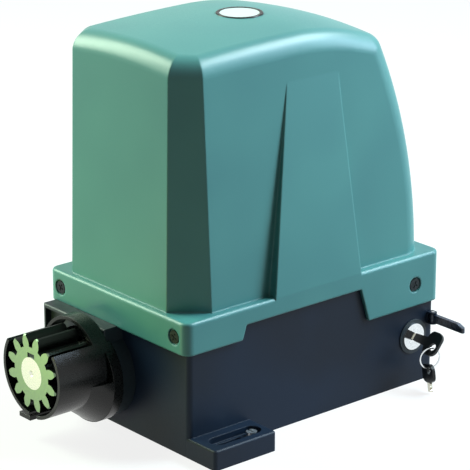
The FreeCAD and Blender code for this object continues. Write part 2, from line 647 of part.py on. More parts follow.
def worm_drive_parts():
    pitch_r = WORM_MODULE * GEAR_RATIO / 2
    tip_r = pitch_r + WORM_MODULE
    root_r = pitch_r - 1.2 * WORM_MODULE
    lead = math.pi * WORM_MODULE
    tooth = lead / 2 - BACKLASH
    lead_angle = math.degrees(math.atan(lead / (math.pi * WORM_PITCH_D)))
    twist = math.degrees(WHEEL_W / 2 * math.tan(math.radians(lead_angle)) / pitch_r)
    y0, y1 = WHEEL_Y - WHEEL_W / 2, WHEEL_Y + WHEEL_W / 2
    sections = [gear_wire(WORM_MODULE, GEAR_RATIO, root_r, tip_r, tooth, y, turn, 2)
                for y, turn in ((y0, -twist), (y1, twist))]
    wheel = Part.makeLoft(sections, True, True)
    hub = rod_y(SHAFT_X, SHAFT_Z, WHEEL_HUB_D / 2, y0 - 10, y1 + 4)
    dogs = [sector_y(WHEEL_HUB_D / 2, SHAFT_D / 2 + 2, start, start + 48, y1 + 4, y1 + 4 + DOG_H)
            for start in (6, 126, 246)]
    wheel = wheel.fuse([hub] + dogs).cut(rod_y(SHAFT_X, SHAFT_Z, SHAFT_D / 2, y0 - 20, y1 + 20))
    add("worm_wheel", largest(wheel))
    # clutch sleeve, drawn back from the wheel by its travel and a gap
    y = CLUTCH_Y
    sleeve = ring_y(SHAFT_X, SHAFT_Z, CLUTCH_D / 2, SHAFT_D / 2 + RUN, y, y + 20)
    groove = ring_y(SHAFT_X, SHAFT_Z, CLUTCH_D / 2 + 1, CLUTCH_D / 2 - 6, y + 7, y + 12)
    teeth = [sector_y(WHEEL_HUB_D / 2, SHAFT_D / 2 + 2, start, start + 48, y - DOG_H, y)
             for start in (66, 186, 306)]
    feather = box(SHAFT_X - 3 - RUN, SHAFT_X + 3 + RUN, y - 10, y + 30, SHAFT_Z, SHAFT_Z + 16 + RUN)
    add("clutch_sleeve", largest(sleeve.fuse(teeth).cut([groove, feather])))
    # fork and rod
    towards = math.degrees(math.atan2(RELEASE_ROD_Z - SHAFT_Z, RELEASE_ROD_X - SHAFT_X))
    fork_y = (y + 7.3, y + 11.7)
    jaw = sector_y(CLUTCH_D / 2 + 5, CLUTCH_D / 2 - 5.7, towards - 85, towards + 85, *fork_y)
    arm = box(CLUTCH_D / 2 + 2, math.hypot(RELEASE_ROD_X - SHAFT_X, RELEASE_ROD_Z - SHAFT_Z),
              fork_y[0], fork_y[1], -5, 5)
    arm.rotate(Vector(0, 0, 0), Vector(0, 1, 0), -towards)
    arm.translate(Vector(SHAFT_X, 0, SHAFT_Z))
    boss = rod_y(RELEASE_ROD_X, RELEASE_ROD_Z, 6.5, fork_y[0], fork_y[1] + 6)
    rod_hole = rod_y(RELEASE_ROD_X, RELEASE_ROD_Z, RELEASE_ROD_R, y, y + 40)
    add("shift_fork", fused(jaw, arm, boss).cut(rod_hole))
    rod = rod_y(RELEASE_ROD_X, RELEASE_ROD_Z, RELEASE_ROD_R, y + 4, LOCK_Y + 6)
    add("release_rod", rod)
    # worm with its shaft, standing
    x, y = worm_x(), WHEEL_Y
    turns = round(WORM_L / lead)
    start = SHAFT_Z - lead * turns / 2
    half = tooth / 2
    flank = math.tan(math.radians(20))
    outer_r = WORM_PITCH_D / 2 + WORM_MODULE
    core_r = WORM_PITCH_D / 2 - 1.2 * WORM_MODULE
    deep = core_r - 0.4
    tip_half = half - WORM_MODULE * flank
    root_half = half + (WORM_PITCH_D / 2 - deep) * flank
    profile = Part.makePolygon([Vector(deep, 0, -root_half), Vector(outer_r, 0, -tip_half),
                                Vector(outer_r, 0, tip_half), Vector(deep, 0, root_half),
                                Vector(deep, 0, -root_half)])
    helix = Part.makeHelix(lead, lead * turns, WORM_PITCH_D / 2)
    thread = Part.Wire(helix).makePipeShell([profile], True, True)
    thread.rotate(Vector(0, 0, 0), Vector(0, 0, 1), 180)
    thread.translate(Vector(x, y, start))
    journal = MOTOR_JOURNAL_D
    core = fused(rod_z(x, y, journal / 2, 8.5, 18.5), rod_z(x, y, core_r, 18.5, BASE_H - 18),
                 rod_z(x, y, MOTOR_SHAFT_D / 2, BASE_H - 18, MOTOR_TOP - 16),
                 rod_z(x, y, journal / 2, MOTOR_TOP - 16, MOTOR_TOP + 18))
    add("worm_shaft", largest(core.fuse(thread)))


def bearing_y(y):
    gap = SHAFT_D / 2 + 4.0
    outer = ring_y(SHAFT_X, SHAFT_Z, BEARING_D / 2, gap + 5.5, y, y + BEARING_W)
    shields = [ring_y(SHAFT_X, SHAFT_Z, gap + 6, gap + 0.1, s, s + 0.8)
               for s in (y + 0.4, y + BEARING_W - 1.2)]
    inner = ring_y(SHAFT_X, SHAFT_Z, gap, SHAFT_D / 2, y, y + BEARING_W)
    return fused(outer, *shields), inner


def bearing_z(z, bore, outside, width):
    x, y = worm_x(), WHEEL_Y
    gap = bore / 2 + 2.6
    outer = ring_z(x, y, outside / 2, gap + 4, z, z + width)
    shields = [ring_z(x, y, gap + 4.5, gap + 0.1, s, s + 0.8) for s in (z + 0.4, z + width - 1.2)]
    inner = ring_z(x, y, gap, bore / 2, z, z + width)
    return fused(outer, *shields), inner


def bearing_parts():
    front, rear = bearing_y(FRONT_BEARING_Y), bearing_y(REAR_BEARING_Y)
    standing = [bearing_z(8.5, MOTOR_JOURNAL_D, 32.0, 10.0), bearing_z(BASE_H + 3, MOTOR_SHAFT_D, 35.0, 11.0),
                bearing_z(MOTOR_TOP - 14, MOTOR_JOURNAL_D, 32.0, 10.0)]
    add("bearing_outer_rings", front[0], rear[0], *[pair[0] for pair in standing])
    add("output_inner_rings", front[1], rear[1])
    add("rotor_inner_rings", *[pair[1] for pair in standing])


# ---------------------------------------------------------------- motor and electrics
def motor_parts():
    x, y = worm_x(), WHEEL_Y
    r = MOTOR_D / 2
    top = STATOR_Z + STATOR_L
    lid = block(-HALF_W + WALL + COVER_FIT, HALF_W - WALL - COVER_FIT, WALL + COVER_FIT,
                PARTITION_Y + PARTITION_T - COVER_FIT, BASE_H - LID_T, BASE_H, 3.0)
    holes = [rod_z(x, y, 20, BASE_H - 18, BASE_H + 12)]
    holes.extend(rod_z(sx, sy, 2.4, BASE_H - 18, BASE_H + 12) for sx, sy in lid_screw_places())
    add("gearbox_lid", lid.cut(holes))
    screws = []
    for sx, sy in lid_screw_places():
        head = rod_z(sx, sy, 4.0, BASE_H, BASE_H + 3)
        head = head.cut(box(sx - 5, sx + 5, sy - 0.6, sy + 0.6, BASE_H + 1.8, BASE_H + 12))
        screws.append(fused(head, rod_z(sx, sy, 2.0, BASE_H - LID_T - 9, BASE_H)))
    add("lid_screws", *screws)
    lower = fused(rod_z(x, y, r + 2, BASE_H, STATOR_Z), rod_z(x, y, 20, BASE_H - LID_T, BASE_H + 1))
    lower = lower.cut([rod_z(x, y, r - 4, BASE_H + 16, STATOR_Z + 1),
                       rod_z(x, y, 17.5, BASE_H + 3, BASE_H + 22),
                       rod_z(x, y, 9, BASE_H - 18, BASE_H + 12),
                       rod_z(x, y, r, STATOR_Z - 4, STATOR_Z + 1)])
    upper = rod_z(x, y, r + 2, top, MOTOR_TOP)
    upper = upper.cut([rod_z(x, y, r - 4, top - 1, MOTOR_TOP - 16),
                       rod_z(x, y, 16, MOTOR_TOP - 17, MOTOR_TOP - 4),
                       rod_z(x, y, 8, top, MOTOR_TOP + 8),
                       rod_z(x, y, r, top - 1, top + 4)])
    rim = [e for e in upper.Edges if is_top_edge(e, MOTOR_TOP) and e.BoundBox.XLength > 60]
    upper = upper.makeFillet(4.0, rim)
    add("lower_endbell", lower)
    add("upper_endbell", upper)
    add("stator_core", ring_z(x, y, r, ROTOR_D / 2 + AIR_GAP, STATOR_Z - 4, top + 4))
    windings = []
    for z0, z1 in ((STATOR_Z - 18, STATOR_Z - 4), (top + 4, top + 16)):
        coil = ring_z(x, y, r - 6, ROTOR_D / 2 + 2, z0, z1)
        windings.append(coil.makeFillet(4.0, [e for e in coil.Edges if e.BoundBox.ZLength < 0.01]))
    add("stator_windings", *windings)
    rotor = rod_z(x, y, ROTOR_D / 2, STATOR_Z - 4, top + 4)
    rotor = fused(rotor, rod_z(x, y, ROTOR_D / 2 - 3, STATOR_Z - 10, top + 10))
    add("rotor_core", rotor.cut(rod_z(x, y, MOTOR_SHAFT_D / 2, BASE_H, MOTOR_TOP + 18)))
    foot = MOTOR_TOP + 3.5
    hub = rod_z(x, y, 10, foot + 0.5, foot + 10.5)
    blades = []
    for i in range(6):
        blade = box(8, FAN_R, -1.0, 1.0, foot + 1.5, foot + 12.5)
        blade.rotate(Vector(0, 0, 0), Vector(0, 0, 1), 60 * i)
        blade.translate(Vector(x, y, 0))
        blades.append(blade)
    disc = rod_z(x, y, FAN_R, foot, foot + 2)
    add("cooling_fan", fused(hub, disc, *blades).cut(rod_z(x, y, MOTOR_JOURNAL_D / 2, foot - 5, foot + 17)))


def electric_parts():
    lid = BASE_H
    back = PARTITION_Y + 14
    board = back + 12
    front = board + 1.6
    plate = block(-55, 55, back, back + 2, lid, lid + 117, 0.9)
    bracket = fused(plate, box(-55, 55, back - 20, back + 1, lid, lid + 2))
    posts = []
    for px in (-48, 48):
        for pz in (lid + 20, lid + 106):
            posts.append(rod_y(px, pz, 3.5, back + 1, board))
    bracket = fused(bracket, *posts)
    add("board_bracket", bracket)
    add("control_board", box(-55, 55, board, front, lid + 14, lid + 112))
    terminals = []
    for i in range(3):
        bar = box(-46 + 32 * i, -18 + 32 * i, front, board + 12, lid + 16, lid + 28)
        cups = [rod_y(-43 + 32 * i + 5.5 * k, lid + 22, 1.9, board + 9, board + 13) for k in range(5)]
        terminals.append(bar.cut(cups))
    add("terminal_blocks", *terminals)
    add("relays", *[box(-40 + 26 * i, -22 + 26 * i, front, board + 17, lid + 52, lid + 68) for i in range(3)])
    core = box(-66, -30, 38, 78, lid, lid + 44)
    coil = block(-62, -34, 30, 86, lid + 9, lid + 35, 6.0)
    add("transformer", fused(core, coil))
    can = rod_z(-48, 106, 15.5, lid + 1.5, lid + 72)
    can = can.makeFillet(2.0, [e for e in can.Edges if is_top_edge(e, lid + 72)])
    studs = [rod_z(-48 + s * 5, 106, 1.5, lid + 71, lid + 78) for s in (-1, 1)]
    add("run_capacitor", fused(can, *studs))
    clip = ring_z(-48, 106, 17, 15.5, lid + 20, lid + 32)
    clip = fused(clip, box(-56, -40, 121.8, 123.8, lid, lid + 32), box(-56, -40, 121.8, 130, lid, lid + 1.4))
    clip = fused(clip, box(-54, -42, 119.5, 122.5, lid + 21, lid + 31))
    clip = clip.cut(rod_z(-48, 106, 15.5, lid, lid + 80))
    add("capacitor_clip", clip)
    grommet = fused(ring_z(CABLE_X, CABLE_Y, CABLE_R, CABLE_R - 4, 1.2, FLOOR),
                    ring_z(CABLE_X, CABLE_Y, CABLE_R + 3, CABLE_R - 4, FLOOR, FLOOR + 2.5))
    add("cable_grommet", grommet)


# ---------------------------------------------------------------- guard and limit switch housing
def guard_parts():
    front = PINION_FACE_Y
    foot_y0 = -(LIMIT_DEEP - LIMIT_RECESS) - GUARD_FLANGE_T
    foot_y1 = foot_y0 + GUARD_FLANGE_T
    foot_z = SHAFT_Z - GUARD_FOOT_DROP
    inner = GUARD_R - GUARD_T
    right_open, left_open = GUARD_OPEN
    slit_0, slit_1 = GUARD_SLIT
    walls = [sector_y(GUARD_R, inner, left_open, slit_0, front, foot_y0 + 1),
             sector_y(GUARD_R, inner, slit_1 - 360, -27, front, foot_y0 + 1),
             sector_y(GUARD_R, inner, -28, 25, front, GUARD_WINDOW_Y),
             sector_y(GUARD_R, inner, 24, right_open, front, foot_y0 + 1),
             sector_y(GUARD_R, inner, right_open - 1, left_open + 1, GUARD_HOOD_Y, foot_y0 + 1)]
    foot = rod_y(SHAFT_X, foot_z, GUARD_FOOT_R, foot_y0, foot_y1)

    def flare(inset):
        rings = []
        for y, z, radius in ((foot_y0 - 18, SHAFT_Z, GUARD_R), (foot_y0 + 0.5, foot_z, GUARD_FOOT_R)):
            circle = Part.Circle(Vector(SHAFT_X, y, z), Vector(0, 1, 0), radius - inset)
            rings.append(Part.Wire(circle.toShape()))
        return Part.makeLoft(rings, True, True)

    skirt = flare(0.0).cut(flare(GUARD_T)).common(box(-80, 40, -60, 0, -5, SHAFT_Z - 8))
    lip_z = SHAFT_Z - GUARD_R
    lip = box(SHAFT_X - 16, SHAFT_X - 3, front, front + 44, lip_z - 3.4, lip_z)
    guard = foot.fuse(walls + [skirt, lip])
    holes = [rod_y(SHAFT_X, SHAFT_Z, SHAFT_D / 2 + 3.5, -60, 0)]
    for x, z in guard_screw_places():
        holes.append(rod_y(x, z, 2.1, -60, 0))
        holes.append(rod_y(x, z, 4.4, -60, foot_y0))
    guard = guard.cut(holes)
    add("pinion_guard", largest(guard))
    screws = []
    for x, z in guard_screw_places():
        head = rod_y(x, z, 3.8, foot_y0 - 2.6, foot_y0)
        head = head.cut([box(x - 2.6, x + 2.6, foot_y0 - 3, foot_y0 - 1.6, z - 0.5, z + 0.5),
                         box(x - 0.5, x + 0.5, foot_y0 - 3, foot_y0 - 1.6, z - 2.6, z + 2.6)])
        screws.append(fused(head, rod_y(x, z, 2.0, foot_y0, 4.8)))
    add("guard_screws", *screws)
    x0, x1 = LIMIT_X
    z0, z1 = LIMIT_Z
    housing = box(x0, x1, -LIMIT_DEEP, 0, z0, z1)
    housing = housing.makeFillet(1.5, [e for e in housing.Edges if abs(e.BoundBox.YMax + LIMIT_DEEP) < 1e-6])
    housing = housing.fuse(rod_y(SHAFT_X, foot_z, GUARD_FOOT_R - 1.5, foot_y1, 0))
    recess = box(x0 + LIMIT_WALL, x1 - LIMIT_WALL, -LIMIT_DEEP - 1, foot_y1, z0 - 1, z1 - LIMIT_WALL)
    cuts = [recess, rod_y(SHAFT_X, foot_z, GUARD_FOOT_R + 0.2, -LIMIT_DEEP - 1, foot_y1),
            rod_y(SHAFT_X, SHAFT_Z, SHAFT_D / 2 + 3, -LIMIT_DEEP - 1, 1),
            box(x0 - 1, x1 + 1, -SKIRT_FRONT - 0.4, 1, SKIRT_BOTTOM_FRONT - 0.4, z1 + 1)]
    cuts.extend(rod_y(x, z, 2.1, -LIMIT_DEEP - 1, 1) for x, z in guard_screw_places())
    add("limit_switch_housing", largest(housing.cut(cuts).removeSplitter()))


# ---------------------------------------------------------------- lock, keys, lever
def key_frame(shape, place, x_way, width_way):
    """Put a key drawn along +X with its width on +Z into the world."""
    thickness = width_way.cross(x_way)
    turned = Rotation(x_way, thickness, width_way, "XZY")
    shape.Placement = FreeCAD.Placement(place, turned).multiply(shape.Placement)
    return shape


def key_pieces(blade_l, socket_l):
    """Bow and blade of a key: the bow starts at x = 0, the blade points to -X."""
    half_t = KEY_BOW_T / 2
    w = KEY_BOW_W / 2
    outline = [Vector(0, -half_t, -3.4), Vector(2.0, -half_t, -w), Vector(KEY_BOW_L, -half_t, -w),
               Vector(KEY_BOW_L, -half_t, w), Vector(2.0, -half_t, w), Vector(0, -half_t, 3.4)]
    bow = prism(outline, [0.5, 4.0, 5.5, 5.5, 4.0, 0.5], Vector(0, KEY_BOW_T, 0))
    if socket_l > 3:
        neck = prism([Vector(-socket_l, -half_t, -2.9), Vector(1.0, -half_t, -3.6),
                      Vector(1.0, -half_t, 3.6), Vector(-socket_l, -half_t, 2.9)], [0] * 4,
                     Vector(0, KEY_BOW_T, 0))
        bow = fused(bow, neck)
    hole = rod_y(KEY_BOW_L - KEY_HOLE_IN, -KEY_HOLE_DROP, KEY_HOLE_R, -5, 5)
    half_w = KEY_BLADE_W / 2 - 0.9
    stem = box(-blade_l, 3.0, -KEY_BLADE_T / 2, KEY_BLADE_T / 2, -half_w, half_w)
    notches = []
    for i, deep in enumerate((1.1, 0.6, 1.4, 0.9)):
        nx = -blade_l + 2.2 + 2.6 * i
        notches.append(prism([Vector(nx - 1.3, -2, -half_w - 0.1), Vector(nx, -2, -half_w + deep),
                              Vector(nx + 1.3, -2, -half_w - 0.1)], [0] * 3, Vector(0, 4, 0)))
    blade = stem.cut(notches)
    pocket = box(-socket_l - 1, 3.0, -KEY_BLADE_T / 2, KEY_BLADE_T / 2, -half_w, half_w)
    return bow.cut([hole, pocket]), blade


def lock_parts():
    face = HALF_W + BEZEL_T
    add("lock_bezel", ring_x(LOCK_Y, LOCK_Z, BEZEL_D / 2, BARREL_D / 2, HALF_W, face))
    room_x = HALF_W - WALL
    inner = room_x - 12.0
    barrel = fused(rod_x(LOCK_Y, LOCK_Z, BARREL_D / 2, inner, face + 0.5),
                   rod_x(LOCK_Y, LOCK_Z, LOCK_FACE_D / 2, face, HALF_W + LOCK_FACE_OUT))
    add("lock_barrel", barrel.cut(rod_x(LOCK_Y, LOCK_Z, PLUG_D / 2, inner - 10, HALF_W + 20)))
    points = [Vector(room_x, LOCK_Y + 13.5 * math.cos(math.radians(60 * i)),
                     LOCK_Z + 13.5 * math.sin(math.radians(60 * i))) for i in range(6)]
    nut = prism(points, [0] * 6, Vector(-4, 0, 0))
    add("lock_nut", nut.cut(rod_x(LOCK_Y, LOCK_Z, BARREL_D / 2, inner - 10, HALF_W + 20)))
    width_way = Vector(0, math.sin(math.radians(KEY_ANGLE)), math.cos(math.radians(KEY_ANGLE)))
    out = Vector(1, 0, 0)
    lock_face = HALF_W + LOCK_FACE_OUT
    bow_x = lock_face + KEY_NECK_L
    blade_l = bow_x - inner - 2
    bow, blade = key_pieces(blade_l, KEY_NECK_L - 1.2)
    place = Vector(bow_x, LOCK_Y, LOCK_Z)
    plug = rod_x(LOCK_Y, LOCK_Z, PLUG_D / 2 - RUN, inner - 0.5, lock_face)
    slot = box(-blade_l - 0.1, 5, -KEY_BLADE_T / 2 - 0.05, KEY_BLADE_T / 2 + 0.05,
               -KEY_BLADE_W / 2 + 0.85, KEY_BLADE_W / 2 - 0.85)
    add("lock_plug", plug.cut(key_frame(slot, place, out, width_way)))
    cam_x = inner - 3.5
    cam = prism([Vector(cam_x, LOCK_Y - 20, LOCK_Z - 4), Vector(cam_x, LOCK_Y + 6, LOCK_Z - 6),
                 Vector(cam_x, LOCK_Y + 6, LOCK_Z + 6), Vector(cam_x, LOCK_Y - 20, LOCK_Z + 4)],
                [3.5, 5, 5, 3.5], Vector(3, 0, 0))
    add("lock_cam", cam)
    add("key_blade", key_frame(blade, place, out, width_way))
    add("key_bow", key_frame(bow, place, out, width_way))
    # split ring through the bow's hole, spare key hanging from its lowest point
    hole = place + out * (KEY_BOW_L - KEY_HOLE_IN) - width_way * KEY_HOLE_DROP
    turn = math.radians(RING_TURN)
    normal = Vector(math.cos(turn), -math.sin(turn), 0)
    along = Vector(math.sin(turn), math.cos(turn), 0)
    up = Vector(0, 0, 1)
    hang = hole + along * RING_SLIP[0] + up * RING_SLIP[1]
    centre = hang - up * RING_R
    add("key_ring", Part.makeTorus(RING_R, RING_WIRE_R, centre, normal))
    low = centre - up * RING_R
    sag = KEY_HOLE_R - RING_WIRE_R - RING_PLAY
    bow, blade = [largest(piece) for piece in key_pieces(SPARE_BLADE_L, 0.0)]
    start = low - up * (KEY_BOW_L - KEY_HOLE_IN + sag) - normal * KEY_HOLE_DROP
    key_frame(bow, start, up, normal * -1)
    key_frame(blade, start, up, normal * -1)
    weight = bow.Volume * BOW_DENSITY + blade.Volume * BLADE_DENSITY
    middle = (bow.CenterOfMass * (bow.Volume * BOW_DENSITY)
              + blade.CenterOfMass * (blade.Volume * BLADE_DENSITY)) / weight - low
    lean = math.degrees(math.atan2(-middle.dot(normal), -middle.z))
    hinge = up.cross(normal)
    for piece in (bow, blade):
        piece.rotate(low, hinge, -lean)
    add("spare_key_bow", bow)
    add("spare_key_blade", blade)


def lever_parts():
    pin_x = HALF_W + LEVER_PIN_OUT
    z0, z1 = LEVER_Z - LEVER_H / 2, LEVER_Z + LEVER_H / 2
    gap = 0.1
    half = LEVER_T / 2
    tip = pin_x + LEVER_L
    arm = block(pin_x, tip, LEVER_Y - half, LEVER_Y + half, z0, z1, 1.4)
    nose = prism([Vector(pin_x - 5, LEVER_Y - 5, z0 - 1), Vector(tip + 1, LEVER_Y - 5, z0 - 1),
                  Vector(tip, LEVER_Y - 5, z0), Vector(tip, LEVER_Y - 5, z1 - 2.5),
                  Vector(tip - 6, LEVER_Y - 5, z1), Vector(pin_x - 5, LEVER_Y - 5, z1 + 1)],
                 [0] * 6, Vector(0, 10, 0))
    knuckle = rod_z(pin_x, LEVER_Y, 2.6, z0, z1)
    lever = fused(arm.common(nose), knuckle).cut(rod_z(pin_x, LEVER_Y, LEVER_PIN_D / 2 + RUN, 0, 90))
    add("release_lever", lever)
    ears = []
    levels = [(z0 - gap - EAR_T, z0 - gap), (z1 + gap, z1 + gap + EAR_T)]
    for a, b in levels:
        ear = fused(rod_z(pin_x, LEVER_Y, 3.0, a, b), box(HALF_W, pin_x, LEVER_Y - 3, LEVER_Y + 3, a, b))
        ears.append(ear)
    plate = box(HALF_W, HALF_W + 0.9, LEVER_Y - 3, LEVER_Y + 3, levels[0][0], levels[1][1])
    bracket = fused(plate, *ears).cut(rod_z(pin_x, LEVER_Y, LEVER_PIN_D / 2, 0, 90))
    add("lever_bracket", bracket)
    add("lever_pin", rod_z(pin_x, LEVER_Y, LEVER_PIN_D / 2, levels[0][0] - 0.4, levels[1][1] + 0.4))


def base_parts():
    add("base_housing", base_housing())
    jacks = []
    for side in (-1, 1):
        x, y = foot_slot_x(side), jack_screw_y()
        jack = rod_z(x, y, JACK_SCREW_D / 2, 1.2, FOOT_H - 1.2)
        jacks.append(jack.cut(box(x - 5, x + 5, y - 0.6, y + 0.6, FOOT_H - 2.6, FOOT_H)))
    add("levelling_screws", *jacks)


def write_parts():
    os.makedirs("parts", exist_ok=True)
    for name, shape in NODES.items():
        moved = shape.copy()
        moved.translate(Vector(0, -BASE_L / 2, 0))
        moved.exportStep(os.path.join("parts", name + ".step"))


base_parts()
cover_parts()
drive_parts()
worm_drive_parts()
bearing_parts()
motor_parts()
electric_parts()
guard_parts()
lock_parts()
lever_parts()
write_parts()
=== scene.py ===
# %% [markdown]
# # Sliding gate motor
# The cast base, moulded cover, guarded pinion, lock and release lever come from the packed
# model as finished solids. This script gives each one the finish of its real material, grows
# the few fine pieces that are too small for the solid model, and sets up a studio and camera.
# Lengths are in metres, and each pattern is sized from a real size in millimetres.

# %% Load the frame and keep its box
import bpy
import math
from mathutils import Matrix, Vector


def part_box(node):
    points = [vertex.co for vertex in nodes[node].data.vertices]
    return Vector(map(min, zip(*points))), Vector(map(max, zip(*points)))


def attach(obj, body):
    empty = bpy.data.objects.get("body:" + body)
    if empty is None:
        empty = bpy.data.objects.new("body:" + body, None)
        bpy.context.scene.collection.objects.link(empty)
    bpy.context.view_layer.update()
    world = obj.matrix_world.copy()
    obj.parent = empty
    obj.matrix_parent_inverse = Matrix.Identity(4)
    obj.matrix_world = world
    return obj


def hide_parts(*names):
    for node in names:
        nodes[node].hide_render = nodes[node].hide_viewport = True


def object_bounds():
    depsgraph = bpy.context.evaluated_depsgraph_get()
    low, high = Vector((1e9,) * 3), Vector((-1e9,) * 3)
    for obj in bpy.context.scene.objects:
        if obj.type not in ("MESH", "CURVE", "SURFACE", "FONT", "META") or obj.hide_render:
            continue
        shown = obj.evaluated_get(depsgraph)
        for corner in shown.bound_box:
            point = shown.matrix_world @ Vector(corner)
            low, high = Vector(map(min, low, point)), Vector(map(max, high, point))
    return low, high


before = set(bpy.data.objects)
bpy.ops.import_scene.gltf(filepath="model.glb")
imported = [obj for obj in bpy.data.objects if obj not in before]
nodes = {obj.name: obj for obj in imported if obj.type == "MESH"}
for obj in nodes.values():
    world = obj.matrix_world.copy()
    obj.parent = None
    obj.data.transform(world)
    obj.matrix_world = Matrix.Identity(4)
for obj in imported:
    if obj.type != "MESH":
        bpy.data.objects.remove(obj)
cad_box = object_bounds()

# %% [markdown]
# Paint and plastic charts give colours as six-digit sRGB codes, while Blender's shaders work
# in linear light. Typing linear values by hand would be hard to read, so one function turns
# every code into them.

# %% Colours from a paint chart


def paint_chip(code):
    """Linear red, green, blue, alpha from a six-digit sRGB code."""
    parts = [int(code[i:i + 2], 16) / 255 for i in (0, 2, 4)]
    linear = [c / 12.92 if c <= 0.04045 else ((c + 0.055) / 1.055) ** 2.4 for c in parts]
    return (*linear, 1.0)


print("cover green in linear light:", [round(c, 3) for c in paint_chip("437F7C")])

# %% [markdown]
# Materials and Geometry Nodes are both trees of nodes. One small function adds a node with
# its settings and its inputs, and an input may be a value or the output of another node.

# %% Add a node


def put(tree, kind, settings=None, **inputs):
    """Add a node. An input is named with _ for a space, or by its number, such as i6."""
    node = tree.nodes.new(kind)
    for key, value in (settings or {}).items():
        setattr(node, key, value)
    for key, value in inputs.items():
        numbered = key[0] == "i" and key[1:].isdigit()
        socket = node.inputs[int(key[1:]) if numbered else key.replace("_", " ")]
        if isinstance(value, bpy.types.NodeSocket):
            tree.links.new(value, socket)
        else:
            socket.default_value = value
    return node


def new_finish(name, **constants):
    """A material with its shader and output in place, and the shader's constant values."""
    material = bpy.data.materials.new(name)
    material.use_nodes = True
    tree = material.node_tree
    tree.nodes.clear()
    shader = put(tree, "ShaderNodeBsdfPrincipled", **constants)
    put(tree, "ShaderNodeOutputMaterial", Surface=shader.outputs["BSDF"])
    print("finish:", name)
    return material, tree, shader


# %% [markdown]
# No real surface is one flat colour. A moulding has a spark-eroded grain, a powder coat an
# orange peel, and metal its scratches. All of them can be drawn with noise on the object's
# own coordinates, which stays put as a piece moves. The noise's middle values, between two
# limits, are spread over the range that the shader needs.

# %% A pattern of a real size
MM = 0.001
WHOLE = (0.0, 1.0)
MOST = (0.3, 0.7)
CORE = (0.35, 0.65)


def pattern(tree, cell_mm, detail, limits, result=WHOLE, stretch=(1, 1, 1)):
    """Noise with blobs cell_mm across; its values between the limits fill the result."""
    place = put(tree, "ShaderNodeTexCoord")
    turned = put(tree, "ShaderNodeMapping", Vector=place.outputs["Object"], Scale=stretch)
    noise = put(tree, "ShaderNodeTexNoise", Vector=turned.outputs["Vector"],
                Scale=1 / (cell_mm * MM), Detail=detail)
    return put(tree, "ShaderNodeMapRange", Value=noise.outputs["Fac"],
               From_Min=limits[0], From_Max=limits[1],
               To_Min=result[0], To_Max=result[1]).outputs["Result"]


def finished(name, chips, tint, gloss=None, relief=None, stretch=(1, 1, 1), **constants):
    """A finish between two paint chips.

    tint is a pattern's cell, detail and limits, or a function that gives the share of the
    second chip. gloss is a pattern's cell and detail, and the lowest and highest roughness.
    relief is a pattern's cell and detail, then its depth in mm, its strength, and by how
    much edges are eased in mm.
    """
    material, tree, shader = new_finish(name, **constants)
    share = tint(tree) if callable(tint) else pattern(tree, *tint, stretch=stretch)
    colour = put(tree, "ShaderNodeMix", {"data_type": "RGBA"}, i0=share,
                 i6=paint_chip(chips[0]), i7=paint_chip(chips[1]))
    tree.links.new(colour.outputs[2], shader.inputs["Base Color"])
    if gloss:
        rough = pattern(tree, *gloss[:2], MOST, gloss[2:], stretch)
        tree.links.new(rough, shader.inputs["Roughness"])
    if relief:
        depth_mm, strength, edge_mm = relief[2:]
        bump = put(tree, "ShaderNodeBump", Strength=strength, Distance=depth_mm * MM,
                   Height=pattern(tree, *relief[:2], WHOLE, stretch=stretch))
        if edge_mm:
            eased = put(tree, "ShaderNodeBevel", {"samples": 6}, Radius=edge_mm * MM)
            tree.links.new(eased.outputs["Normal"], bump.inputs["Normal"])
        tree.links.new(bump.outputs["Normal"], shader.inputs["Normal"])
    return material


# %% [markdown]
# The cover is injection-moulded ASA, a weatherproof plastic close to ABS, dyed grey-green.
# A mould for such covers is spark-eroded to a fine satin, so light spreads softly over it
# and its eased edges carry thin bright lines. The real grain is about a third of a
# millimetre; it is drawn at 0.9 mm so that it can be seen.

# %% Moulded ASA for the cover
cover_asa = finished("moulded_asa_grey_green", ("437F7C", "498681"), (70.0, 1.0, CORE),
                     (0.9, 3.0, 0.34, 0.42), (0.9, 3.0, 0.05, 0.25, 1.8),
                     IOR=1.52, Specular_IOR_Level=0.38, Coat_Weight=0.06, Coat_Roughness=0.2)

# %% [markdown]
# The base is die-cast aluminium under a thick polyester powder coat. The powder melts into
# a skin with a slight orange peel, about 2 mm from bump to bump. It looks almost black,
# barely glossy, with a navy cast.

# %% Powder coat for the base casting
powder_coat = finished("powder_coat_charcoal", ("0B1724", "102031"), (60.0, 1.0, CORE),
                       (0.8, 2.0, 0.40, 0.52), (2.2, 1.5, 0.10, 0.35, 0.8),
                       IOR=1.5, Specular_IOR_Level=0.20)

# %% [markdown]
# Guards, housings and key bows are moulded in glass-filled nylon or plain ABS, dyed right
# through. The tool leaves a faint leather-like grain, so the eye sees a deep black with a
# broken sheen. Seals are rubber, duller still. They differ in colour, roughness and the
# size of the grain alone, so one function makes them all.

# %% Moulded plastics and rubber


def moulded(name, chips, roughness, cell_mm):
    """A plastic or rubber moulding whose grain sets its colour, gloss and relief."""
    return finished(name, chips, (cell_mm, 2.5, MOST),
                    (cell_mm, 2.5, roughness, roughness + 0.1),
                    (cell_mm, 2.5, 0.06, 0.3, 0.5), IOR=1.5, Specular_IOR_Level=0.35)


